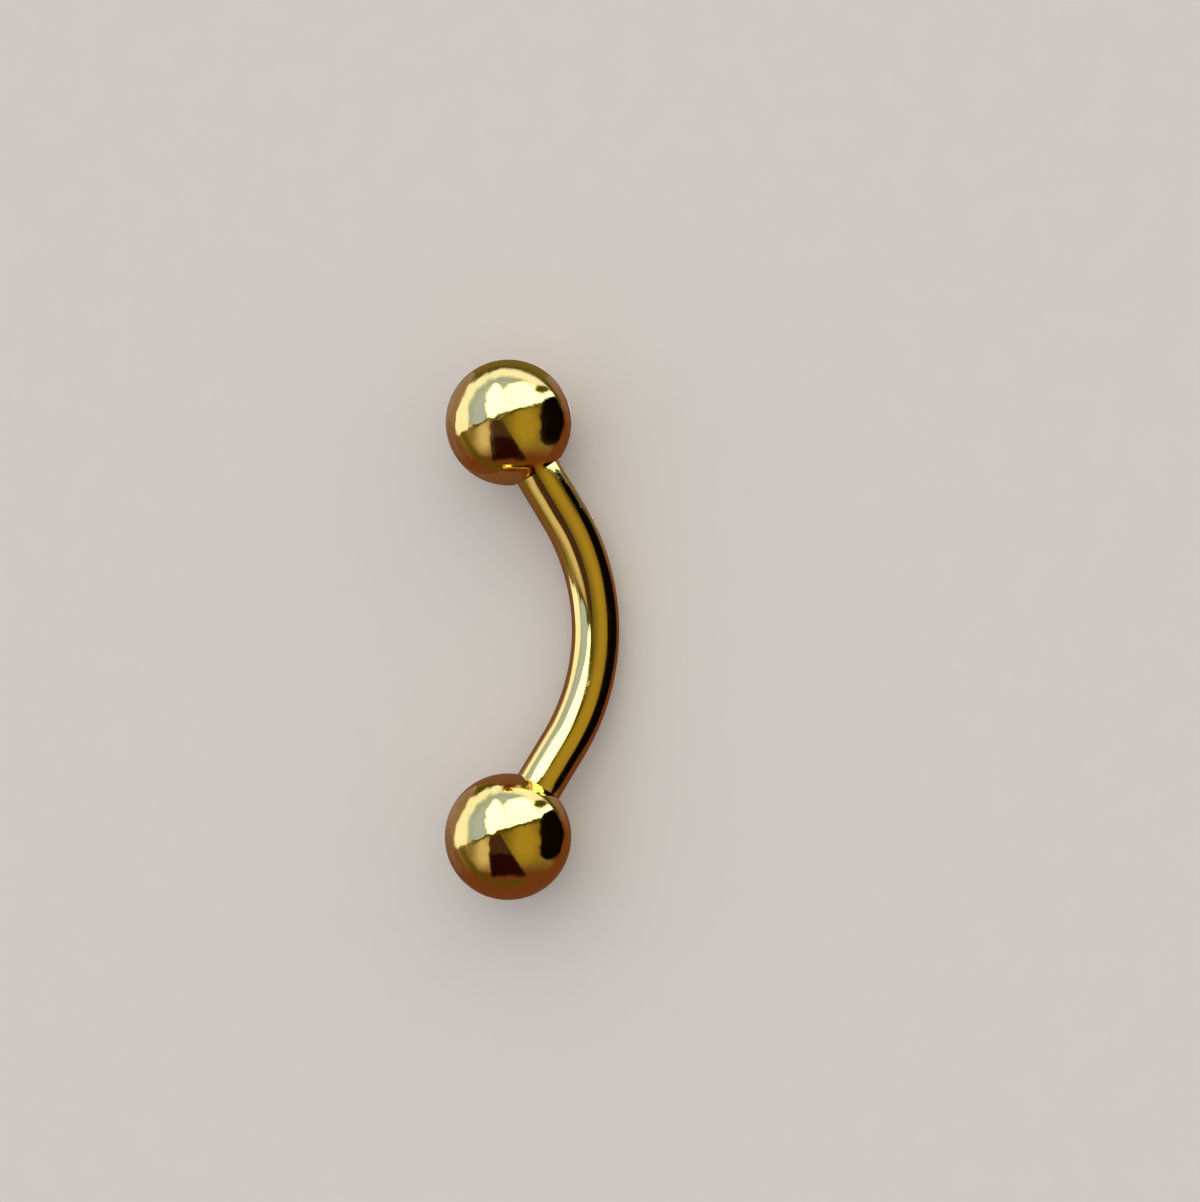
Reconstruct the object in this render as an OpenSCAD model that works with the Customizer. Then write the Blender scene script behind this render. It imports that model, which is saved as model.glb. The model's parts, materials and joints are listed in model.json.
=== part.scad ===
// Curved eyebrow barbell: a bent bar with a screw-on ball at each end.
// It lies as it does on a table, on both balls and the middle of its bar.
// The line between the balls runs along Y, the bow points to +X, and the table is at Z = 0.

/* [Bar] */
// Diameter of the bar, 16 gauge
bar_d = 1.2; // [1:0.05:1.4]
// Straight distance between the two balls, where the skin sits
wear_length = 8; // [7:0.5:12]
// Length of each straight end, from the bend to the ball
straight_length = 1.3; // [0.8:0.1:2]
// Lean of each straight end away from the line between the balls
end_angle = 31.5; // [25:0.5:40]

/* [Balls] */
// Diameter of a ball, an eighth of an inch
ball_d = 3.175; // [3:0.025:4]
// Width of the countersink's rim beyond the bar, all round
mouth_margin = 0.08; // [0.05:0.01:0.15]
// Width of the fine line left between the bar's shoulder and the countersink
seat_gap = 0.03; // [0.02:0.01:0.04]

/* [Thread] */
// Pitch of the thread
thread_pitch = 0.25; // [0.2:0.05:0.25]
// Number of turns on each threaded end
thread_turns = 6; // [4:1:6]
// Depth of the thread, from crest to root
thread_depth = 0.13; // [0.08:0.01:0.14]
// Gap between the thread's crest and the wall of the ball's hole
thread_gap = 0.03; // [0.02:0.01:0.05]

/* [Hidden] */
$fn = 96;
GOLD = [0.85, 0.64, 0.22];

bar_r = bar_d / 2;
ball_r = ball_d / 2;

// The threaded end is turned a little thinner than the bar, which leaves a shoulder.
shoulder_step = 0.05;
crest_r = bar_r - shoulder_step;
root_r = crest_r - thread_depth;
relief_length = 0.12;
tip_length = 0.12;
tip_chamfer = 0.09;
post_length = relief_length + thread_turns * thread_pitch + tip_length;

// Each turn has 30 degree flanks and a crest an eighth of the pitch wide. The root takes the rest.
flank_length = thread_depth * tan(30);
crest_flat = thread_pitch / 8;

// The ball's hole: a cone at the mouth, a plain wall, and the cone that a drill leaves.
hole_r = crest_r + thread_gap;
mouth_r = bar_r + mouth_margin;
mouth_to_centre = sqrt(ball_r * ball_r - mouth_r * mouth_r);
shoulder_inset = mouth_margin - seat_gap;
room_past_tip = 0.12;
hole_depth = shoulder_inset + post_length + room_past_tip;
drill_tip_angle = 59;
drill_tip_length = hole_r / tan(drill_tip_angle);

// How far a solid that cuts, or one that joins another, reaches past the face it starts at.
overlap = 0.3;

// The bar's outline in its own plane, with the line between the balls at x = 0.
bend_end_y = wear_length / 2 - straight_length * cos(end_angle);
bend_r = bend_end_y / sin(end_angle);
bow = bend_r * (1 - cos(end_angle)) + (straight_length + mouth_to_centre) * sin(end_angle);
bend_end_x = bow - bend_r * (1 - cos(end_angle));
shoulder_from_bend = straight_length + shoulder_inset;
ball_from_bend = straight_length + mouth_to_centre;

// The lean at which the balls and the middle of the bar all touch the table.
lean = asin((ball_r - bar_r) / bow);
front_x = bow * cos(lean) + bar_r;
middle_x = (front_x - ball_r) / 2;

// Lays the barbell down, with its origin below the middle of its box.
module as_it_rests() {
    translate([-middle_x, 0, ball_r]) rotate([0, lean, 0]) children();
}

// Puts the children where the bend stops, with +Z along the straight end, out of the bar.
// Side 1 is the end at +Y, and side -1 its mirror image.
module at_bend_end(side) {
    mirror([0, side < 0 ? 1 : 0, 0])
        translate([bend_end_x, bend_end_y, 0])
            rotate([0, 0, end_angle])
                rotate([-90, 0, 0])
                    children();
}

// One threaded end, standing on the shoulder: relief groove, thread and chamfered tip.
module threaded_post() {
    thread_points = [
        for (turn = [0 : thread_turns - 1])
            let (foot = relief_length + turn * thread_pitch)
                each [
                    [root_r, foot],
                    [crest_r, foot + flank_length],
                    [crest_r, foot + flank_length + crest_flat],
                    [root_r, foot + 2 * flank_length + crest_flat]
                ]
    ];
    rotate_extrude()
        polygon(concat(
            [[0, -overlap], [root_r, -overlap]],
            thread_points,
            [[root_r, post_length - tip_length], [root_r - tip_chamfer, post_length], [0, post_length]]
        ));
}

// Half of the bend, the straight end and the threaded end, cut off at the middle of the bar.
module half_bar(side) {
    angle_past_middle = 5;
    reach = 2 * wear_length;
    intersection() {
        at_bend_end(side) {
            translate([-bend_r, 0, 0])
                rotate([-90, 0, 0])
                    rotate_extrude(angle = end_angle + angle_past_middle)
                        translate([bend_r, 0]) circle(r = bar_r);
            cylinder(r = bar_r, h = shoulder_from_bend);
            translate([0, 0, shoulder_from_bend]) threaded_post();
        }
        translate([-reach / 2, side > 0 ? 0 : -reach, -reach / 2]) cube(reach);
    }
}

// The bar is one piece: its two halves meet at the middle of the bend.
module curved_bar() {
    color(GOLD)
        as_it_rests() {
            half_bar(1);
            half_bar(-1);
        }
}

// The ball's hole from its mouth up, turned as one solid: countersink, wall and drill's cone.
module ball_hole() {
    rotate_extrude()
        polygon([
            [0, -overlap],
            [mouth_r + overlap, -overlap],
            [hole_r, mouth_margin + bar_r - hole_r],
            [hole_r, hole_depth],
            [0, hole_depth + drill_tip_length]
        ]);
}

// A ball with its hole facing -Z.
module ball() {
    difference() {
        sphere(r = ball_r);
        translate([0, 0, -mouth_to_centre]) ball_hole();
    }
}

// The ball screwed on to one end of the bar.
module ball_end(side) {
    color(GOLD)
        as_it_rests()
            at_bend_end(side)
                translate([0, 0, ball_from_bend])
                    ball();
}

curved_bar();
ball_end(1);  // ball_upper
ball_end(-1);  // ball_lower
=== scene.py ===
"""Curved eyebrow barbell, dressed: the bar, its two screw-on balls, their finish and the studio.

The frame gives each piece its place and its body. Everything here is in metres, in the frame's
own axes: the line between the balls runs along Y, the bow points to +X, and the floor is at Z = 0.
"""

import json
from math import acos, asin, ceil, cos, hypot, pi, radians, sin, sqrt, tan

import bmesh
import bpy
from mathutils import Matrix, Vector


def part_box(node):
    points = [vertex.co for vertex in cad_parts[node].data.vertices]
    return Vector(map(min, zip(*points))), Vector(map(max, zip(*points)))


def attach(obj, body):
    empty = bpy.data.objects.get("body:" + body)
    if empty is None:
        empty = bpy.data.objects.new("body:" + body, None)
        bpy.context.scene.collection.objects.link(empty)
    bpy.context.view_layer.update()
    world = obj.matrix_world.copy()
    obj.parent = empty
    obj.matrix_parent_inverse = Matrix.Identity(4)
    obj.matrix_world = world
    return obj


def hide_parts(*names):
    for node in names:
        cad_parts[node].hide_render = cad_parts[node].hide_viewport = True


bl_info = {
    "name": "Curved Barbell",
    "version": (1, 0, 0),
    "blender": (4, 5, 0),
    "location": "3D View > Sidebar > Barbell",
    "description": "Models a curved eyebrow barbell in polished gold and sets its studio",
    "category": "Object",
}

MM = 0.001

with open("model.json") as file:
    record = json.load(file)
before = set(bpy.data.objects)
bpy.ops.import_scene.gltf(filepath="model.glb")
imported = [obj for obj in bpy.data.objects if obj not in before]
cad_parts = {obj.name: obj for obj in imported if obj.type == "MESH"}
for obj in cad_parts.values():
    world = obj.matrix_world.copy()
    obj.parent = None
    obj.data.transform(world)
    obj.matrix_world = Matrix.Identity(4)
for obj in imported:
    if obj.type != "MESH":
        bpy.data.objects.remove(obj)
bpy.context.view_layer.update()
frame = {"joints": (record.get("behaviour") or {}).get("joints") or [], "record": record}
PIERCING = frame["record"]["mounts"][0]["dims"]
JOINTS = {joint["name"]: joint for joint in frame["joints"]}
UPPER_AXIS = Vector(JOINTS["upper_ball_off"]["axis"]).normalized()

# Vertices closer than this are one. After a cut, so are those closer than the second.
SAME_PLACE = 0.0001 * MM
CUT_SLIVER = 0.002 * MM

# How far from its nominal place a vertex of a ring may be, and a piece's box from its CAD node's
RING_HEIGHT_PLAY = 5 * SAME_PLACE
RING_RADIUS_PLAY = 20 * SAME_PLACE
BOX_PLAY = 0.04 * MM


# Sizes and colours that a user would change

def length_choice(name, description, default, least, most):
    """A length, given here in millimetres."""
    return bpy.props.FloatProperty(
        name=name,
        description=description,
        default=default * MM,
        min=least * MM,
        max=most * MM,
        precision=6,
        unit="LENGTH",
    )


def colour_choice(name, description, default):
    return bpy.props.FloatVectorProperty(
        name=name,
        description=description,
        default=default,
        min=0,
        max=1,
        size=3,
        subtype="COLOR",
    )


def factor_choice(name, description, default):
    return bpy.props.FloatProperty(
        name=name,
        description=description,
        default=default,
        min=0,
        max=1,
        subtype="FACTOR",
    )


class BarbellSizes(bpy.types.PropertyGroup):
    """The barbell's sizes, the same as the construction's."""

    bar_diameter: length_choice(
        "Bar Diameter", "Thickness of the bar, 16 gauge", 2 * PIERCING["r_mm"], 1.0, 1.4
    )
    wear_length: length_choice(
        "Wearing Length", "Straight distance between the two balls", PIERCING["length_mm"], 7, 12
    )
    straight_length: length_choice(
        "Straight End", "Length of each straight end, from the bend to the ball", 1.3, 0.8, 2
    )
    end_angle: bpy.props.FloatProperty(
        name="End Angle",
        description="Lean of each straight end away from the line between the balls",
        default=acos(UPPER_AXIS.y),
        min=radians(25),
        max=radians(40),
        unit="ROTATION",
    )
    ball_diameter: length_choice(
        "Ball Diameter", "Size of each ball, an eighth of an inch", 3.175, 3, 4
    )
    mouth_margin: length_choice(
        "Mouth Margin",
        "Width of the countersink's rim beyond the bar, all round",
        0.08,
        0.05,
        0.15,
    )
    seat_gap: length_choice(
        "Seat Gap",
        "Width of the fine line between the bar's shoulder and the countersink",
        0.03,
        0.02,
        0.04,
    )
    thread_pitch: length_choice(
        "Thread Pitch", "Distance from one turn of the thread to the next", 0.25, 0.2, 0.25
    )
    thread_turns: bpy.props.IntProperty(
        name="Thread Turns",
        description="Number of turns on each threaded end",
        default=6,
        min=4,
        max=6,
    )
    thread_depth: length_choice(
        "Thread Depth", "Depth of the thread, from crest to root", 0.13, 0.08, 0.14
    )
    thread_gap: length_choice(
        "Thread Gap",
        "Gap between the thread's crest and the wall of the ball's hole",
        0.03,
        0.02,
        0.05,
    )


class BarbellFinish(bpy.types.PropertyGroup):
    """The colours and the polish of the metal."""

    gold: colour_choice("Gold", "Colour of the plated surface", (0.93, 0.64, 0.17))
    deep_gold: colour_choice(
        "Deep Gold", "Redder colour where the plating is thicker", (0.88, 0.54, 0.11)
    )
    worn_gold: colour_choice(
        "Worn Gold", "Paler colour where rubbing has thinned the plating", (0.95, 0.75, 0.36)
    )
    polish_roughness: factor_choice("Polish Roughness", "Roughness of the mirror polish", 0.05)
    turned_roughness: factor_choice(
        "Turned Roughness",
        "Roughness of the threads and holes, which stay as the lathe leaves them",
        0.24,
    )


class BarbellStudio(bpy.types.PropertyGroup):
    """The floor and the light around the barbell."""

    floor: colour_choice("Floor", "Colour of the plain floor", (0.74, 0.69, 0.65))
    light_strength: bpy.props.FloatProperty(
        name="Light Strength",
        description="Strength of all the light together",
        default=1.0,
        min=0,
        max=10,
    )


# Small parts of the construction that stay the same at every size

SHOULDER_STEP = 0.05 * MM
RELIEF_LENGTH = 0.12 * MM
TIP_LENGTH = 0.12 * MM
TIP_CHAMFER = 0.09 * MM
ROOM_PAST_TIP = 0.12 * MM
DRILL_TIP_ANGLE = radians(59)
FLANK_ANGLE = radians(30)

# Rounding of the edges, which the polishing wheel leaves

LIP_ROUND = 0.025 * MM
BORE_EDGE_ROUND = 0.012 * MM
SHOULDER_ROUND = 0.02 * MM

# Fineness of the meshes

BALL_SEGMENTS = 192
BALL_RINGS = 112
BAR_SIDES = 128
BEND_STEPS = 40
STRAIGHT_STEPS = 4
THREAD_STEPS = 72
SMOOTH_ANGLE = radians(28)


class Layout:
    """Lengths and places that follow from the barbell's sizes, as they do in the construction."""

    def __init__(self, sizes):
        self.bar_r = sizes.bar_diameter / 2
        self.ball_r = sizes.ball_diameter / 2
        self.end_angle = sizes.end_angle
        self.straight_length = sizes.straight_length
        self.pitch = sizes.thread_pitch
        self.turns = sizes.thread_turns

        # The threaded end, measured from the shoulder
        self.crest_r = self.bar_r - SHOULDER_STEP
        self.root_r = self.crest_r - sizes.thread_depth
        self.post_length = RELIEF_LENGTH + self.turns * self.pitch + TIP_LENGTH

        # The ball's hole, measured from its mouth
        self.hole_r = self.crest_r + sizes.thread_gap
        self.mouth_r = self.bar_r + sizes.mouth_margin
        self.mouth_to_centre = sqrt(self.ball_r**2 - self.mouth_r**2)
        self.shoulder_inset = sizes.mouth_margin - sizes.seat_gap
        self.countersink_depth = self.mouth_r - self.hole_r
        self.hole_depth = self.shoulder_inset + self.post_length + ROOM_PAST_TIP
        self.drill_tip_length = self.hole_r / tan(DRILL_TIP_ANGLE)

        # The bar's line in its own plane, with the line between the balls at X = 0
        self.bend_end_y = sizes.wear_length / 2 - self.straight_length * cos(self.end_angle)
        self.bend_r = self.bend_end_y / sin(self.end_angle)
        bend_depth = self.bend_r * (1 - cos(self.end_angle))
        self.shoulder_from_bend = self.straight_length + self.shoulder_inset
        self.ball_from_bend = self.straight_length + self.mouth_to_centre
        self.bow = bend_depth + self.ball_from_bend * sin(self.end_angle)
        self.bend_end_x = self.bow - bend_depth

        # The lean at which both balls and the middle of the bar touch the floor
        self.lean = asin((self.ball_r - self.bar_r) / self.bow)
        front_x = self.bow * cos(self.lean) + self.bar_r
        middle_x = (front_x - self.ball_r) / 2
        self.at_rest = Matrix.Translation((-middle_x, 0, self.ball_r)) @ Matrix.Rotation(
            self.lean, 4, "Y"
        )

    def bend_end(self, side):
        """Turns +Z along the straight end of that side, with the origin where the bend stops."""
        place = Matrix.Translation((self.bend_end_x, side * self.bend_end_y, 0))
        leaning = Matrix.Rotation(side * self.end_angle, 4, "Z")
        return place @ leaning @ Matrix.Rotation(-side * pi / 2, 4, "X")

    def ball_place(self, side):
        """Where the ball of that side sits at rest, its hole facing its own -Z."""
        along = Matrix.Translation((0, 0, self.ball_from_bend))
        return self.at_rest @ self.bend_end(side) @ along

    def post_place(self, side):
        """Where the threaded end of that side starts, in the bar's own plane."""
        return self.bend_end(side) @ Matrix.Translation((0, 0, self.shoulder_from_bend))


# Ways of working by hand

def start_fresh():
    """Deselects everything, so that the next step acts on new work alone."""
    bpy.ops.object.select_all(action="DESELECT")


def take_up(piece):
    """Makes one piece the only one selected."""
    start_fresh()
    piece.select_set(True)
    bpy.context.view_layer.objects.active = piece


def rename(piece, name):
    piece.name = name
    piece.data.name = name
    return piece


def pick_vertices(piece, wanted):
    """In edit mode, selects the wanted vertices and what lies between them. Says how many."""
    bpy.ops.mesh.select_mode(type="VERT")
    bpy.ops.mesh.select_all(action="DESELECT")
    mesh = bmesh.from_edit_mesh(piece.data)
    chosen = [vertex for vertex in mesh.verts if wanted(vertex)]
    for vertex in chosen:
        vertex.select = True
    mesh.select_flush_mode()
    bmesh.update_edit_mesh(piece.data)
    return len(chosen)


def pick(piece, wanted):
    """Selects the vertices whose place is wanted, of which there has to be at least one."""
    if not pick_vertices(piece, lambda vertex: wanted(vertex.co)):
        raise RuntimeError(f"{piece.name}: nothing lies where it should be picked")


def pick_round(piece, radius, z):
    """Selects the ring of that radius and height around the piece's own Z axis."""
    def on_the_ring(co):
        off_radius = abs(hypot(co.x, co.y) - radius)
        return abs(co.z - z) < RING_HEIGHT_PLAY and off_radius < RING_RADIUS_PLAY

    pick(piece, on_the_ring)


def draw_out(start, steps):
    """Extrudes the selected ring through steps of (radius, height) about the Z axis."""
    radius, z = start
    for new_radius, new_z in steps:
        bpy.ops.mesh.extrude_edges_move()
        if new_radius != radius:
            scale = new_radius / radius
            bpy.ops.transform.resize(value=(scale, scale, 1), center_override=(0, 0, z))
        if new_z != z:
            bpy.ops.transform.translate(value=(0, 0, new_z - z))
        radius, z = new_radius, new_z


def draw_outline(name, points):
    """Draws an open line through the points (radius, height), one vertex extruded to the next."""
    start_fresh()
    (first_radius, first_height), *others = points
    bpy.ops.mesh.primitive_plane_add(size=MM, location=(first_radius, 0, first_height))
    outline = rename(bpy.context.object, name)
    bpy.ops.object.transform_apply(location=True)
    bpy.ops.object.mode_set(mode="EDIT")
    bpy.ops.mesh.select_all(action="SELECT")
    bpy.ops.mesh.merge(type="CENTER")
    last_radius, last_height = first_radius, first_height
    for radius, height in others:
        step = (radius - last_radius, 0, height - last_height)
        bpy.ops.mesh.extrude_vertices_move(TRANSFORM_OT_translate={"value": step})
        last_radius, last_height = radius, height
    bpy.ops.object.mode_set(mode="OBJECT")
    return outline


def tidy_shell(piece, merge_within=SAME_PLACE):
    """Merges doubled vertices, takes out those with two edges and turns every face outwards.

    A vertex with two edges is no corner. It leaves a stray sliver when its faces are triangulated.
    """
    take_up(piece)
    bpy.ops.object.mode_set(mode="EDIT")
    bpy.ops.mesh.select_all(action="SELECT")
    bpy.ops.mesh.remove_doubles(threshold=merge_within)
    pick_vertices(piece, lambda vertex: len(vertex.link_edges) == 2)
    bpy.ops.mesh.dissolve_verts()
    bpy.ops.mesh.select_all(action="SELECT")
    bpy.ops.mesh.normals_make_consistent(inside=False)
    if bmesh.from_edit_mesh(piece.data).calc_volume(signed=True) < 0:
        bpy.ops.mesh.flip_normals()
    bpy.ops.object.mode_set(mode="OBJECT")


def turn_solid(name, outline_points):
    """Spins an outline that starts and ends on the Z axis into a solid."""
    solid = draw_outline(name, outline_points)
    bpy.ops.object.mode_set(mode="EDIT")
    bpy.ops.mesh.select_all(action="SELECT")
    bpy.ops.mesh.spin(
        steps=THREAD_STEPS, angle=2 * pi, center=(0, 0, 0), axis=(0, 0, 1), use_auto_merge=False
    )
    bpy.ops.object.mode_set(mode="OBJECT")
    tidy_shell(solid)
    return solid


def apply_boolean(piece, tool, operation):
    """Cuts, joins or trims a piece with a tool, and takes the tool away."""
    take_up(piece)
    modifier = piece.modifiers.new(operation.title(), "BOOLEAN")
    modifier.operation = operation
    modifier.solver = "MANIFOLD"
    modifier.object = tool
    bpy.ops.object.modifier_apply(modifier=modifier.name)
    bpy.data.objects.remove(tool)


def put_in_place(piece, place):
    """Moves a piece to its place and writes the place into its mesh."""
    take_up(piece)
    piece.matrix_world = place
    bpy.ops.object.transform_apply(location=True, rotation=True, scale=True)


def require_closed(piece):
    """Stops the work if a piece has a hole in its surface or faces that point inwards."""
    mesh = bmesh.new()
    mesh.from_mesh(piece.data)
    open_edges = sum(not edge.is_manifold for edge in mesh.edges)
    volume = mesh.calc_volume(signed=True)
    mesh.free()
    if open_edges or volume <= 0:
        raise RuntimeError(f"{piece.name}: {open_edges} open edges, volume {volume:.3g}")


def require_same_box(piece, node):
    """Stops the work if a piece's box isn't the box of the CAD node that it stands for.

    A helical thread reaches a little further than the plain rings that stand in for it there.
    """
    corners = [Vector(corner) for corner in piece.bound_box]
    lowest = Vector(min(corner[axis] for corner in corners) for axis in range(3))
    highest = Vector(max(corner[axis] for corner in corners) for axis in range(3))
    low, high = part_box(node)
    off = max(abs(value) for value in (*(lowest - low), *(highest - high)))
    if off > BOX_PLAY:
        raise RuntimeError(f"{piece.name} is {off / MM:.3f} mm off the box of {node}")


# The threaded end

def thread_rod(name, root_r, crest_r, pitch, length):
    """A right-hand threaded rod along +Z from Z = 0, with flat ends."""
    depth = crest_r - root_r
    flank = depth * tan(FLANK_ANGLE)
    crest_flat = pitch / 8
    root_flat = pitch - crest_flat - 2 * flank
    rod = draw_outline(
        name,
        [
            (root_r, 0),
            (root_r, root_flat),
            (crest_r, root_flat + flank),
            (crest_r, root_flat + flank + crest_flat),
            (root_r, pitch),
        ],
    )
    take_up(rod)
    screw = rod.modifiers.new("Thread", "SCREW")
    screw.axis = "Z"
    screw.angle = 2 * pi
    screw.screw_offset = pitch
    screw.iterations = ceil(length / pitch) + 2
    screw.steps = THREAD_STEPS
    screw.render_steps = THREAD_STEPS
    screw.use_smooth_shade = False
    bpy.ops.object.modifier_apply(modifier=screw.name)

    # The first and last turns run out in a ramp, so they are cut away flat.
    bottom = 1.02 * pitch
    bpy.ops.object.mode_set(mode="EDIT")
    bpy.ops.mesh.select_all(action="SELECT")
    bpy.ops.mesh.remove_doubles(threshold=SAME_PLACE)
    for height, inner in ((bottom, True), (bottom + length, False)):
        bpy.ops.mesh.select_all(action="SELECT")
        bpy.ops.mesh.bisect(
            plane_co=(0, 0, height),
            plane_no=(0, 0, 1),
            clear_inner=inner,
            clear_outer=not inner,
            use_fill=True,
            threshold=SAME_PLACE / 10,
        )
    bpy.ops.mesh.select_all(action="SELECT")
    bpy.ops.transform.translate(value=(0, 0, -bottom))
    bpy.ops.mesh.normals_make_consistent(inside=False)
    bpy.ops.object.mode_set(mode="OBJECT")
    return rod


def threaded_end(layout):
    """The thread of one end, from relief groove to chamfered tip, measured from the shoulder."""
    sunk = 0.05 * MM
    clear = 0.01 * MM
    inside = 0.005 * MM
    start = RELIEF_LENGTH - sunk
    end = layout.post_length
    rod = thread_rod("thread", layout.root_r, layout.crest_r, layout.pitch, end - start + clear)
    put_in_place(rod, Matrix.Translation((0, 0, start - clear / 2)))

    # A blank with both ends chamfered trims the thread's first and last turns.
    blank_r = layout.crest_r + clear
    start_r = layout.root_r - inside - sunk
    tip_r = layout.root_r - TIP_CHAMFER
    tip_slope = (layout.root_r - tip_r) / TIP_LENGTH
    blank = turn_solid(
        "blank",
        [
            (0, start),
            (start_r, start),
            (blank_r, start + blank_r - start_r),
            (blank_r, end - (blank_r - tip_r) / tip_slope),
            (tip_r, end),
            (0, end),
        ],
    )
    apply_boolean(rod, blank, "INTERSECT")
    return rod


# The ball

def model_ball(layout, name):
    """A ball around the origin: sphere, countersunk mouth facing -Z, tapped hole, drill's cone."""
    mouth_z = -layout.mouth_to_centre
    bore_start_z = mouth_z + layout.countersink_depth
    bore_end_z = mouth_z + layout.hole_depth
    tip_z = bore_end_z + layout.drill_tip_length
    almost_nothing = 0.01

    start_fresh()
    bpy.ops.mesh.primitive_uv_sphere_add(
        segments=BALL_SEGMENTS, ring_count=BALL_RINGS, radius=layout.ball_r
    )
    ball = rename(bpy.context.object, name)
    bpy.ops.object.mode_set(mode="EDIT")
    bpy.ops.mesh.select_all(action="SELECT")
    bpy.ops.mesh.bisect(
        plane_co=(0, 0, mouth_z), plane_no=(0, 0, 1), clear_inner=True, threshold=SAME_PLACE / 10
    )

    # Countersink, bore and the cone that the drill leaves
    pick_round(ball, layout.mouth_r, mouth_z)
    draw_out(
        (layout.mouth_r, mouth_z),
        [
            (layout.hole_r, bore_start_z),
            (layout.hole_r, bore_end_z),
            (layout.hole_r * almost_nothing, tip_z),
        ],
    )
    bpy.ops.mesh.merge(type="CENTER")

    # Polishing rounds the lip of the mouth, and the countersink's inner edge is broken.
    bpy.ops.mesh.select_mode(type="VERT")
    pick_round(ball, layout.mouth_r, mouth_z)
    bpy.ops.mesh.bevel(offset=LIP_ROUND, segments=4, affect="EDGES")
    pick_round(ball, layout.hole_r, bore_start_z)
    bpy.ops.mesh.bevel(offset=BORE_EDGE_ROUND, segments=2, affect="EDGES")
    bpy.ops.object.mode_set(mode="OBJECT")
    tidy_shell(ball)

    # The tap cuts its thread outwards from the bore's wall.
    tap_inside = 0.02 * MM
    tap_depth = 0.08 * MM
    tap_start = bore_start_z + BORE_EDGE_ROUND
    tap_length = layout.post_length - layout.pitch
    tap = thread_rod(
        "tap", layout.hole_r - tap_inside, layout.hole_r + tap_depth, layout.pitch, tap_length
    )
    put_in_place(tap, Matrix.Translation((0, 0, tap_start)))
    apply_boolean(ball, tap, "DIFFERENCE")
    tidy_shell(ball, CUT_SLIVER)
    return ball


def is_in_hole(layout, co):
    """Whether a place in the ball's own axes is on the wall of its hole."""
    past_the_lip = co.z > layout.countersink_depth / 2 - layout.mouth_to_centre
    near_the_axis = hypot(co.x, co.y) < layout.ball_r / 2
    under_the_top = co.z < layout.ball_r * 0.8
    return past_the_lip and near_the_axis and under_the_top


# The bar

def model_bar(layout, name):
    """The bent bar in its own plane, with a shoulder and a relief groove at each end."""
    start_fresh()
    bpy.ops.mesh.primitive_circle_add(
        vertices=BAR_SIDES,
        radius=layout.bar_r,
        location=(layout.bow, 0, 0),
        rotation=(pi / 2, 0, 0),
    )
    bar = rename(bpy.context.object, name)
    bpy.ops.object.transform_apply(location=True, rotation=True)
    bpy.ops.object.mode_set(mode="EDIT")
    bpy.ops.mesh.select_all(action="SELECT")
    bpy.ops.mesh.spin(
        steps=BEND_STEPS,
        angle=-layout.end_angle,
        center=(layout.bow - layout.bend_r, 0, 0),
        axis=(0, 0, 1),
    )

    # The straight end, the shoulder and the neck behind the thread, ring by ring
    outwards = Vector((-sin(layout.end_angle), cos(layout.end_angle), 0))
    bend_stop = Vector((layout.bend_end_x, layout.bend_end_y, 0))
    shoulder = layout.shoulder_from_bend
    rings = [
        (shoulder * (step + 1) / STRAIGHT_STEPS, layout.bar_r) for step in range(STRAIGHT_STEPS)
    ]
    rings += [(shoulder, layout.root_r), (shoulder + RELIEF_LENGTH, layout.root_r)]
    reached, radius = 0, layout.bar_r
    for distance, new_radius in rings:
        bpy.ops.mesh.extrude_edges_move()
        if new_radius != radius:
            scale = new_radius / radius
            bpy.ops.transform.resize(
                value=(scale, scale, scale), center_override=bend_stop + outwards * reached
            )
        if distance != reached:
            bpy.ops.transform.translate(value=outwards * (distance - reached))
        reached, radius = distance, new_radius
    bpy.ops.mesh.edge_face_add()

    # Polishing rounds the shoulder's edge.
    shoulder_at = bend_stop + outwards * shoulder

    def on_the_edge(co):
        return (
            abs((co - shoulder_at).dot(outwards)) < RING_HEIGHT_PLAY
            and (co - shoulder_at).length > (layout.bar_r + layout.root_r) / 2
        )

    pick(bar, on_the_edge)
    bpy.ops.mesh.bevel(offset=SHOULDER_ROUND, segments=4, affect="EDGES")
    bpy.ops.object.mode_set(mode="OBJECT")

    take_up(bar)
    mirror = bar.modifiers.new("Other half", "MIRROR")
    mirror.use_axis = (False, True, False)
    mirror.merge_threshold = SAME_PLACE
    bpy.ops.object.modifier_apply(modifier=mirror.name)
    tidy_shell(bar)
    return bar


def add_threads(layout, bar):
    """Joins a right-hand thread to each end of the bar."""
    for side in (1, -1):
        thread = threaded_end(layout)
        put_in_place(thread, layout.post_place(side))
        apply_boolean(bar, thread, "UNION")
    tidy_shell(bar, CUT_SLIVER)


def is_behind_shoulder(layout, co):
    """Whether a place in the bar's own plane is on a threaded end."""
    along = Vector((-sin(layout.end_angle), cos(layout.end_angle), 0))
    from_bend = Vector((co.x - layout.bend_end_x, abs(co.y) - layout.bend_end_y, co.z))
    return from_bend.dot(along) > layout.shoulder_from_bend + SAME_PLACE


# Node trees, with their sums written as plain expressions

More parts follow.
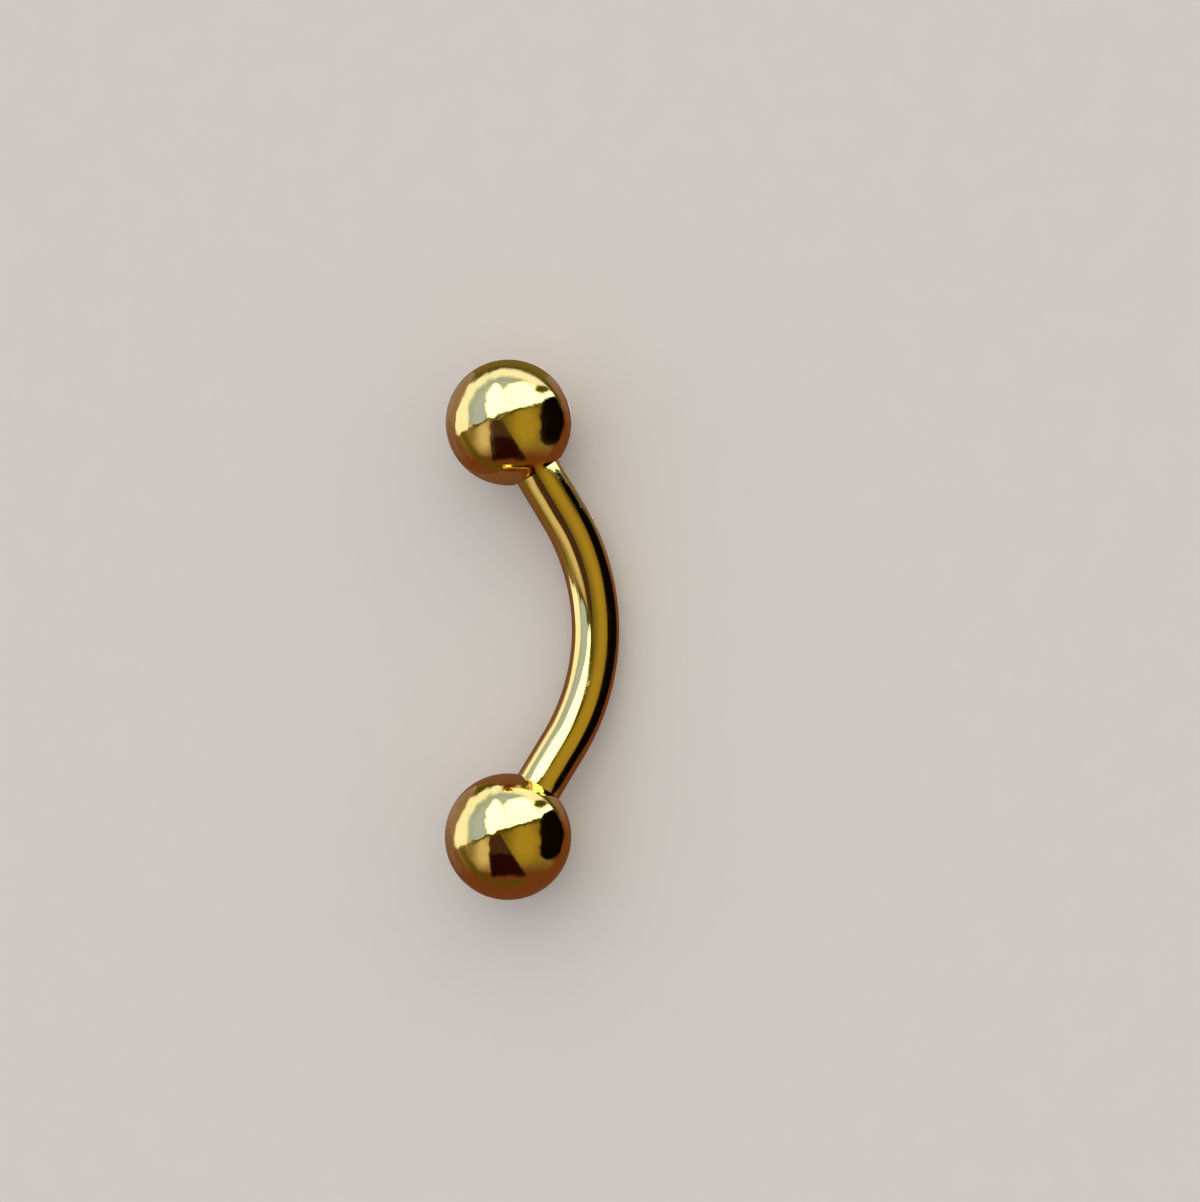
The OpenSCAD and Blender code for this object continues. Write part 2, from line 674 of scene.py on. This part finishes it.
class Number:
    """A value socket. The operators on it add Math nodes to its tree."""

    def __init__(self, graph, socket):
        self.graph = graph
        self.socket = socket

    def math(self, operation, *values, clamp=False):
        settings = {"operation": operation, "use_clamp": clamp}
        node = self.graph.node("ShaderNodeMath", settings, dict(enumerate(values)))
        return Number(self.graph, node.outputs[0])

    def __add__(self, other):
        return self.math("ADD", self, other)

    def __radd__(self, other):
        return self.math("ADD", other, self)

    def __sub__(self, other):
        return self.math("SUBTRACT", self, other)

    def __rsub__(self, other):
        return self.math("SUBTRACT", other, self)

    def __mul__(self, other):
        return self.math("MULTIPLY", self, other)

    def __rmul__(self, other):
        return self.math("MULTIPLY", other, self)

    def __truediv__(self, other):
        return self.math("DIVIDE", self, other)

    def above(self, edge, softness):
        """1 where this is above the edge, 0 below it, with a soft step between."""
        return self.math("ADD", (self - edge) / softness, 0.5, clamp=True)

    def below(self, edge, softness):
        """1 where this is below the edge, 0 above it, with a soft step between."""
        return self.math("SUBTRACT", 0.5, (self - edge) / softness, clamp=True)

    def most(self, other):
        return self.math("MAXIMUM", self, other)

    def root(self):
        return self.math("SQRT", self)


class Graph:
    """A node tree that is being drawn up."""

    def __init__(self, tree):
        tree.nodes.clear()
        self.tree = tree

    def node(self, kind, settings=None, inputs=None):
        """Adds a node, makes its settings, and then gives its sockets their values or links."""
        node = self.tree.nodes.new(kind)
        for name, value in (settings or {}).items():
            setattr(node, name, value)
        for name, value in (inputs or {}).items():
            source = value.socket if isinstance(value, Number) else value
            if isinstance(source, bpy.types.NodeSocket):
                self.tree.links.new(source, node.inputs[name])
            else:
                node.inputs[name].default_value = source
        return node

    def number(self, socket):
        return Number(self, socket)

    def blend_colour(self, factor, first, second):
        """The first colour where the factor is 0, the second where it is 1."""
        settings = {"data_type": "RGBA", "blend_type": "MIX"}
        node = self.node("ShaderNodeMix", settings, {0: factor, 6: first, 7: second})
        return node.outputs[2]

    def noise(self, place, scale, detail=2.0, roughness=0.5, distortion=0.0):
        inputs = {
            "Vector": place,
            "Scale": scale,
            "Detail": detail,
            "Roughness": roughness,
            "Distortion": distortion,
        }
        return self.number(self.node("ShaderNodeTexNoise", None, inputs).outputs[0])

    def dot(self, vector, direction):
        settings = {"operation": "DOT_PRODUCT"}
        node = self.node("ShaderNodeVectorMath", settings, {0: vector, 1: direction})
        return self.number(node.outputs["Value"])


def opaque(colour):
    return (*colour, 1.0)


def new_material(name):
    """An empty material, and the graph to draw it up in."""
    material = bpy.data.materials.new(name)
    material.use_nodes = True
    return material, Graph(material.node_tree)


def show_surface(graph, kind, inputs):
    """Ends a material's graph with a shader of that kind."""
    shader = graph.node(kind, None, inputs)
    graph.node("ShaderNodeOutputMaterial", None, {"Surface": shader.outputs[0]})


# The metal

# Sizes of what shows on the surface
TINT_PATCH = 0.9 * MM
SMUDGE = 0.45 * MM
POLISH_RIPPLE = 0.8 * MM
POLISH_RIPPLE_DEPTH = 0.0012 * MM
SCRATCH_LENGTH = 1.1 * MM
SCRATCH_WIDTH = 0.012 * MM
SCRATCH_DEPTH = 0.0003 * MM
TURNING_MARK = 0.02 * MM
TURNING_DEPTH = 0.0015 * MM
SCRATCH_DIRECTIONS = ((0.3, 0.2, 0.5), (1.1, -0.6, 1.9), (-0.7, 0.9, 2.8))
SCRATCH_SIZE = (SCRATCH_LENGTH, SCRATCH_WIDTH, SCRATCH_WIDTH)


def show_gold(graph, colour, roughness, height):
    """Ends a material's graph as metal of that colour, its height given in millimetres."""
    bump = graph.node("ShaderNodeBump", None, {"Strength": 1.0, "Distance": MM, "Height": height})
    inputs = {
        "Base Color": colour,
        "Metallic": 1.0,
        "Roughness": roughness,
        "Normal": bump.outputs[0],
    }
    show_surface(graph, "ShaderNodeBsdfPrincipled", inputs)


def scratches(graph, place):
    """Fine straight hairlines in a few directions, 1 on a scratch and 0 between them."""
    lines = None
    for turn in SCRATCH_DIRECTIONS:
        turned = graph.node(
            "ShaderNodeMapping",
            {"vector_type": "TEXTURE"},
            {"Vector": place, "Rotation": turn, "Scale": SCRATCH_SIZE},
        ).outputs[0]
        line = graph.noise(turned, 1.0, detail=0.0).above(0.74, 0.08)
        lines = line if lines is None else lines.most(line)
    where = graph.noise(place, 1 / SCRATCH_LENGTH, detail=1.0).above(0.5, 0.25)
    return lines * where


def mirror_gold(finish):
    """Mirror-polished plating: slight tints, smudges, the wheel's faint ripple and hairlines."""
    material, graph = new_material("mirror_gold")
    place = graph.node("ShaderNodeTexCoord").outputs["Object"]

    tint = graph.noise(place, 1 / TINT_PATCH, detail=3.0).above(0.55, 0.5)
    rubbed = graph.noise(place, 1 / SMUDGE, detail=4.0, roughness=0.6).above(0.66, 0.25)
    lines = scratches(graph, place)
    colour = graph.blend_colour(tint * 0.6, opaque(finish.gold), opaque(finish.deep_gold))
    colour = graph.blend_colour((rubbed * 0.3).most(lines * 0.4), colour, opaque(finish.worn_gold))

    smudge = graph.noise(place, 2 / SMUDGE, detail=3.0, roughness=0.65)
    roughness = finish.polish_roughness * (0.7 + smudge * 0.6) + rubbed * 0.03 + lines * 0.1

    ripple = graph.noise(place, 1 / POLISH_RIPPLE, detail=1.0)
    height = ripple * (POLISH_RIPPLE_DEPTH / MM) - lines * (SCRATCH_DEPTH / MM)
    show_gold(graph, colour, roughness, height)
    return material


def lathe_gold(finish):
    """The threads and holes: plated over the lathe's marks, satin and a little darker."""
    material, graph = new_material("lathe_gold")
    place = graph.node("ShaderNodeTexCoord").outputs["Object"]

    grain = graph.noise(place, 1 / TURNING_MARK, detail=3.0)
    stain = graph.noise(place, 1 / SMUDGE, detail=3.0).above(0.5, 0.5)
    colour = graph.blend_colour(stain * 0.7, opaque(finish.gold), opaque(finish.deep_gold))
    roughness = finish.turned_roughness * (0.75 + grain * 0.5)
    height = grain * (TURNING_DEPTH / MM)
    show_gold(graph, colour, roughness, height)
    return material


def material_named(name, maker):
    """A finish that pieces share: made once, and found again by its name."""
    return bpy.data.materials.get(name) or maker(bpy.context.scene.barbell_finish)


def finish_metal(piece, is_turned):
    """Gives a piece its polish, and its threads and holes the finish that the lathe leaves."""
    take_up(piece)
    piece.data.materials.clear()
    piece.data.materials.append(material_named("mirror_gold", mirror_gold))
    piece.data.materials.append(material_named("lathe_gold", lathe_gold))
    bpy.ops.object.mode_set(mode="EDIT")
    pick(piece, is_turned)
    piece.active_material_index = 1
    bpy.ops.object.material_slot_assign()
    bpy.ops.mesh.select_all(action="DESELECT")
    bpy.ops.object.mode_set(mode="OBJECT")
    bpy.ops.object.shade_smooth_by_angle(angle=SMOOTH_ANGLE)


def fit_to_frame(piece, body, node):
    """Checks a finished piece, and lets it ride on its body in place of its CAD node."""
    require_closed(piece)
    require_same_box(piece, node)
    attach(piece, body)
    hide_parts(node)


# The camera, set by where the barbell stands in the photograph

PHOTO_WIDTH = 1200
PHOTO_HEIGHT = 1202
# Pixels, right and down from the photograph's top left corner
MIDDLE_OF_BALLS_PX = (508.25, 629.0)
PX_BETWEEN_BALLS = 414.0
LENS = 150.0
SENSOR = 36.0
NEAR_CLIP = 5 * MM
FAR_CLIP = 2.0

# How far the view is from square on to the barbell's own plane. Its reflections tell.
TURNED_ASIDE = radians(12)
FROM_BELOW = radians(4)


class View:
    """The photograph's view, with the line between the balls upright in it."""

    def __init__(self, layout):
        upper = layout.ball_place(1).translation
        lower = layout.ball_place(-1).translation
        lean = layout.lean - TURNED_ASIDE
        aside = Vector((sin(lean), 0, cos(lean)))
        along = Vector((0, 1, 0))
        self.right = Vector((cos(lean), 0, -sin(lean)))
        self.up = along * cos(FROM_BELOW) + aside * sin(FROM_BELOW)
        self.towards = aside * cos(FROM_BELOW) - along * sin(FROM_BELOW)
        middle = (upper + lower) / 2
        px = (upper - lower).dot(self.up) / PX_BETWEEN_BALLS
        across = (PHOTO_WIDTH / 2 - MIDDLE_OF_BALLS_PX[0]) * px
        above = (MIDDLE_OF_BALLS_PX[1] - PHOTO_HEIGHT / 2) * px
        self.target = middle + self.right * across + self.up * above
        self.distance = PHOTO_HEIGHT * px * LENS / SENSOR

    def camera_place(self):
        turn = Matrix((self.right, self.up, self.towards)).transposed().to_4x4()
        return Matrix.Translation(self.target + self.towards * self.distance) @ turn


# The floor and the light

FLOOR_SIZE = 3.0
FLOOR_BELOW = 0.002 * MM
MAT_SIZE = (3.4 * MM, 14.6 * MM)
MAT_RIGHT_EDGE = 0.5 * MM
BACKDROP = (0.80, 0.78, 0.76)

# Colours of the light that the metal reflects
LOW_SURROUND = (0.16, 0.058, 0.030)
HIGH_SURROUND = (0.34, 0.28, 0.30)
WARM_MAT = (0.24, 0.13, 0.10)
SOFTBOX = (1.12, 1.34, 2.10)
SOFTBOX_CORE = (3.2, 3.8, 4.6)
SOFTBOX_FRAME = (0.42, 0.60, 1.25)
COOL_PANEL = (0.46, 0.69, 1.70)
SHADE_LINE = (0.085, 0.09, 0.012)
GOLD_PANEL = (0.40, 0.33, 0.07)
GOLD_SHADE = (0.17, 0.145, 0.04)
OLIVE_CARD = (0.26, 0.22, 0.11)
PALE_CARD = (0.68, 0.66, 0.68)
BROWN_CARD = (0.058, 0.034, 0.03)
DARK_CARD = (0.016, 0.002, 0.004)
BLACK_CARD = (0.003, 0.002, 0.001)

# Soft light on all that isn't metal: its level square on, and how much more comes from above
FILL_COLOUR = (1, 1, 1)
FILL_LEVEL = 0.82
FILL_FROM_ABOVE = 0.38

# Where each card and light shows on a ball: the centre and half size of an oval, in ball radii
PALE_CARD_AT = ((-0.38, -0.22), (0.13, 0.24))
GOLD_PANEL_AT = ((0.28, -0.06), (0.22, 0.36))
BLACK_CARD_AT = ((0.66, 0.0), (0.22, 0.38))
BLACK_CORNER_AT = ((0.66, 0.24), (0.14, 0.20))
LEFT_GLOW_AT = ((-0.19, 0.27), (0.15, 0.31))
RIGHT_GLOW_AT = ((0.20, 0.42), (0.27, 0.20))
RIM_SHADE_AT = ((0.52, 0.53), (0.13, 0.06))

# The borders between them, in the same measure
DARK_LEFT = -0.27
DARK_TOP = -0.24
GOLD_RIGHT = 0.51
CORE_CENTRE = (-0.02, 0.10)
CORE_RADIUS = 0.53
FRAME_RADIUS = 0.62
HORIZON_RADIUS = 0.80
SOFTBOX_RADIUS = 0.83
CRISP = 0.03


def plain_floor(studio):
    """The floor's finish: matt and pale, with a barely visible grain."""
    material, graph = new_material("plain_floor")
    place = graph.node("ShaderNodeTexCoord").outputs["Object"]
    grain = graph.noise(place, 1 / MM, detail=2.0)
    paler = tuple(min(1.0, level * 1.03) for level in studio.floor)
    colour = graph.blend_colour(grain, opaque(studio.floor), opaque(paler))
    inputs = {"Base Color": colour, "Roughness": 0.9, "Specular IOR Level": 0}
    show_surface(graph, "ShaderNodeBsdfPrincipled", inputs)
    return material


def warm_mat():
    """The matt, warm brown surface that the metal reflects below it."""
    material, graph = new_material("warm_mat")
    show_surface(graph, "ShaderNodeBsdfDiffuse", {"Color": opaque(WARM_MAT)})
    return material


def reflected_light(graph, view):
    """What the metal reflects, laid out by where it shows on a ball seen by the camera.

    Across and above are measured from the ball's centre, to the right and up, in ball radii.
    """
    direction = graph.node("ShaderNodeTexCoord").outputs["Generated"]
    wobble = graph.noise(direction, 4.0, detail=3.0) - 0.5
    length = (2 + 2 * graph.dot(direction, view.towards)).most(0.02).root()
    across = graph.dot(direction, view.right) / length + wobble * 0.12
    above = graph.dot(direction, view.up) / length - wobble * 0.10

    def distance(centre, half_size=(1, 1)):
        wide = (across - centre[0]) / half_size[0]
        high = (above - centre[1]) / half_size[1]
        return (wide * wide + high * high).root()

    def oval(centre, half_size, softness):
        return distance(centre, half_size).below(1.0, softness)

    # Everything lies within the round horizon. Below it all is warm and dim.
    patches = graph.noise(direction, 3.0, detail=2.0) - 0.5
    height = (above * 0.7 - across * 0.25 + patches * 1.2).above(0.22, 1.0)
    light = graph.blend_colour(height, opaque(LOW_SURROUND), opaque(HIGH_SURROUND))
    from_middle = distance((0, 0))
    horizon = from_middle.below(HORIZON_RADIUS, 0.05)
    light = graph.blend_colour(horizon * above.above(-0.45, 0.2), light, opaque(OLIVE_CARD))
    low_line = from_middle.above(0.69, 0.04) * from_middle.below(0.77, 0.05)
    low_line = low_line * (across + above).below(-0.35, 0.3)
    light = graph.blend_colour(low_line * 0.8, light, opaque(SHADE_LINE))

    # The lower half: a pale card on the left, a dark column, a golden panel and a black card
    pale_card = oval(*PALE_CARD_AT, 0.9) * across.below(DARK_LEFT, 0.02)
    light = graph.blend_colour(pale_card, light, opaque(PALE_CARD))
    column_edge = across + above * 0.6 + 0.07
    dark_card = across.above(DARK_LEFT, 0.02) * column_edge.below(0, CRISP)
    dark_card = dark_card * above.above(-0.60, 0.06)
    light = graph.blend_colour(dark_card, light, opaque(BROWN_CARD))
    darkest = dark_card * above.below(DARK_TOP, 0.05)
    light = graph.blend_colour(darkest, light, opaque(DARK_CARD))
    golden = column_edge.above(0, CRISP) * (across - above * 0.1).below(GOLD_RIGHT, CRISP)
    golden = golden * above.above(-0.44, 0.1)
    light = graph.blend_colour(golden, light, opaque(GOLD_SHADE))
    bright = oval(*GOLD_PANEL_AT, 0.9)
    light = graph.blend_colour(golden * bright, light, opaque(GOLD_PANEL))
    black = across.above(GOLD_RIGHT, CRISP) * oval(*BLACK_CARD_AT, 0.1)
    black = black.most(oval(*BLACK_CORNER_AT, 0.15))

    # The softbox overhead: its curved lower edge, frame, cool panel and glowing core
    edge = above - across * 0.33 + across * across * 0.15 - 0.175
    rim_line = edge.above(-0.06, CRISP) * across.above(-0.55, 0.1)
    rim_line = rim_line * from_middle.below(0.89, CRISP)
    light = graph.blend_colour(rim_line, light, opaque(SHADE_LINE))
    light = graph.blend_colour(black, light, opaque(BLACK_CARD))
    edge = edge - across.above(0.62, 0.25) * 0.12
    softbox = edge.above(0, CRISP) * from_middle.below(SOFTBOX_RADIUS, CRISP)
    light = graph.blend_colour(softbox, light, opaque(SOFTBOX))
    from_core = distance(CORE_CENTRE)
    frame_ring = from_core.below(FRAME_RADIUS, 0.05) * softbox
    light = graph.blend_colour(frame_ring, light, opaque(SOFTBOX_FRAME))
    core = from_core.below(CORE_RADIUS, 0.05) * softbox
    light = graph.blend_colour(core, light, opaque(COOL_PANEL))
    glow = oval(*LEFT_GLOW_AT, 0.2).most(oval(*RIGHT_GLOW_AT, 0.25))
    band = edge.below(0.10, 0.05) * across.above(-0.3, 0.05)
    light = graph.blend_colour(glow.most(band) * softbox, light, opaque(SOFTBOX_CORE))
    from_gap = (across + above * 0.45 - 0.17).math("ABSOLUTE")
    gap = from_gap.below(0.035, CRISP) * above.above(0.3, 0.06)
    light = graph.blend_colour(gap * core, light, opaque(SOFTBOX_FRAME))
    shade = oval(*RIM_SHADE_AT, 0.5)
    light = graph.blend_colour(shade * softbox, light, opaque(SHADE_LINE))
    return light


def light_studio(world, view, strength):
    """Lights the world: patterned for the metal's reflections, plain and soft for all else."""
    world.use_nodes = True
    graph = Graph(world.node_tree)
    rays = graph.node("ShaderNodeLightPath").outputs
    direction = graph.node("ShaderNodeTexCoord").outputs["Generated"]
    fill = FILL_LEVEL + graph.dot(direction, view.up) * FILL_FROM_ABOVE
    shaders = [
        graph.node("ShaderNodeBackground", None, {"Color": colour, "Strength": level}).outputs[0]
        for colour, level in (
            (opaque(FILL_COLOUR), fill * strength),
            (reflected_light(graph, view), strength),
            (opaque(BACKDROP), strength),
        )
    ]
    soft, patterned, backdrop = shaders
    lit_inputs = {0: rays["Is Glossy Ray"], 1: soft, 2: patterned}
    lit = graph.node("ShaderNodeMixShader", None, lit_inputs).outputs[0]
    seen_inputs = {0: rays["Is Camera Ray"], 1: lit, 2: backdrop}
    seen = graph.node("ShaderNodeMixShader", None, seen_inputs)
    graph.node("ShaderNodeOutputWorld", None, {"Surface": seen.outputs[0]})


# One operator for each group of pieces, and one for the stage

class BARBELL_OT_bent_bar(bpy.types.Operator):
    """Models the bent bar with a threaded end at each side, and gives it its finish"""

    bl_idname = "barbell.bent_bar"
    bl_label = "Bent Bar"
    bl_options = {"REGISTER", "UNDO"}

    def execute(self, context):
        layout = Layout(context.scene.barbell_sizes)
        bar = model_bar(layout, "curved_bar_polished")
        add_threads(layout, bar)
        finish_metal(bar, lambda co: is_behind_shoulder(layout, co))
        put_in_place(bar, layout.at_rest)
        fit_to_frame(bar, "bar", "curved_bar")
        return {"FINISHED"}


class BARBELL_OT_screw_balls(bpy.types.Operator):
    """Models a ball with its tapped hole, and screws one on to each end of the bar"""

    bl_idname = "barbell.screw_balls"
    bl_label = "Screw-on Balls"
    bl_options = {"REGISTER", "UNDO"}

    def execute(self, context):
        layout = Layout(context.scene.barbell_sizes)
        upper = model_ball(layout, "ball_upper_polished")
        finish_metal(upper, lambda co: is_in_hole(layout, co))
        take_up(upper)
        bpy.ops.object.duplicate(linked=False)
        lower = rename(context.object, "ball_lower_polished")
        put_in_place(upper, layout.ball_place(1))
        put_in_place(lower, layout.ball_place(-1))
        fit_to_frame(upper, "upper_ball", "ball_upper")
        fit_to_frame(lower, "lower_ball", "ball_lower")
        return {"FINISHED"}


class BARBELL_OT_studio(bpy.types.Operator):
    """Lays the floor, lights it and points the camera"""

    bl_idname = "barbell.studio"
    bl_label = "Studio"
    bl_options = {"REGISTER", "UNDO"}

    def execute(self, context):
        scene = context.scene
        studio = scene.barbell_studio
        view = View(Layout(scene.barbell_sizes))

        start_fresh()
        bpy.ops.mesh.primitive_plane_add(size=FLOOR_SIZE, location=(0, 0, -FLOOR_BELOW))
        floor = rename(context.object, "floor")
        bpy.ops.object.transform_apply(location=True)
        floor.data.materials.append(plain_floor(studio))
        floor.visible_glossy = False

        # The metal reflects a warm mat in place of the floor. Nothing else sees it.
        start_fresh()
        place = (MAT_RIGHT_EDGE - MAT_SIZE[0] / 2, 0, 0)
        bpy.ops.mesh.primitive_plane_add(size=1, location=place)
        mat = rename(context.object, "warm_mat")
        bpy.ops.transform.resize(value=(*MAT_SIZE, 1), center_override=place)
        bpy.ops.object.transform_apply(location=True, scale=True)
        mat.data.materials.append(warm_mat())
        mat.visible_camera = False
        mat.visible_diffuse = False
        mat.visible_shadow = False

        scene.world = bpy.data.worlds.new("studio")
        light_studio(scene.world, view, studio.light_strength)

        camera = bpy.data.objects.new("camera", bpy.data.cameras.new("camera"))
        context.collection.objects.link(camera)
        camera.matrix_world = view.camera_place()
        camera.data.lens = LENS
        camera.data.sensor_width = SENSOR
        camera.data.clip_start = NEAR_CLIP
        camera.data.clip_end = FAR_CLIP
        scene.camera = camera
        scene.view_settings.view_transform = "Standard"
        return {"FINISHED"}


class BARBELL_PT_panel(bpy.types.Panel):
    """The barbell's sizes, its finish and the steps that make it"""

    bl_idname = "BARBELL_PT_panel"
    bl_label = "Curved Barbell"
    bl_space_type = "VIEW_3D"
    bl_region_type = "UI"
    bl_category = "Barbell"

    def draw(self, context):
        scene = context.scene
        for title, group in (
            ("Sizes", scene.barbell_sizes),
            ("Finish", scene.barbell_finish),
            ("Studio", scene.barbell_studio),
        ):
            box = self.layout.box()
            box.label(text=title)
            for name in group.bl_rna.properties.keys():
                if name not in ("rna_type", "name"):
                    box.prop(group, name)
        for operator in OPERATORS:
            self.layout.operator(operator.bl_idname)


OPERATORS = (BARBELL_OT_bent_bar, BARBELL_OT_screw_balls, BARBELL_OT_studio)
GROUPS = {
    "barbell_sizes": BarbellSizes,
    "barbell_finish": BarbellFinish,
    "barbell_studio": BarbellStudio,
}
CLASSES = (*GROUPS.values(), *OPERATORS, BARBELL_PT_panel)


def register():
    for one_class in CLASSES:
        bpy.utils.register_class(one_class)
    for name, group in GROUPS.items():
        setattr(bpy.types.Scene, name, bpy.props.PointerProperty(type=group))


def unregister():
    for name in GROUPS:
        delattr(bpy.types.Scene, name)
    for one_class in reversed(CLASSES):
        bpy.utils.unregister_class(one_class)


def main():
    register()
    bpy.ops.barbell.bent_bar()
    bpy.ops.barbell.screw_balls()
    bpy.ops.barbell.studio()


if __name__ == "__main__":
    main()
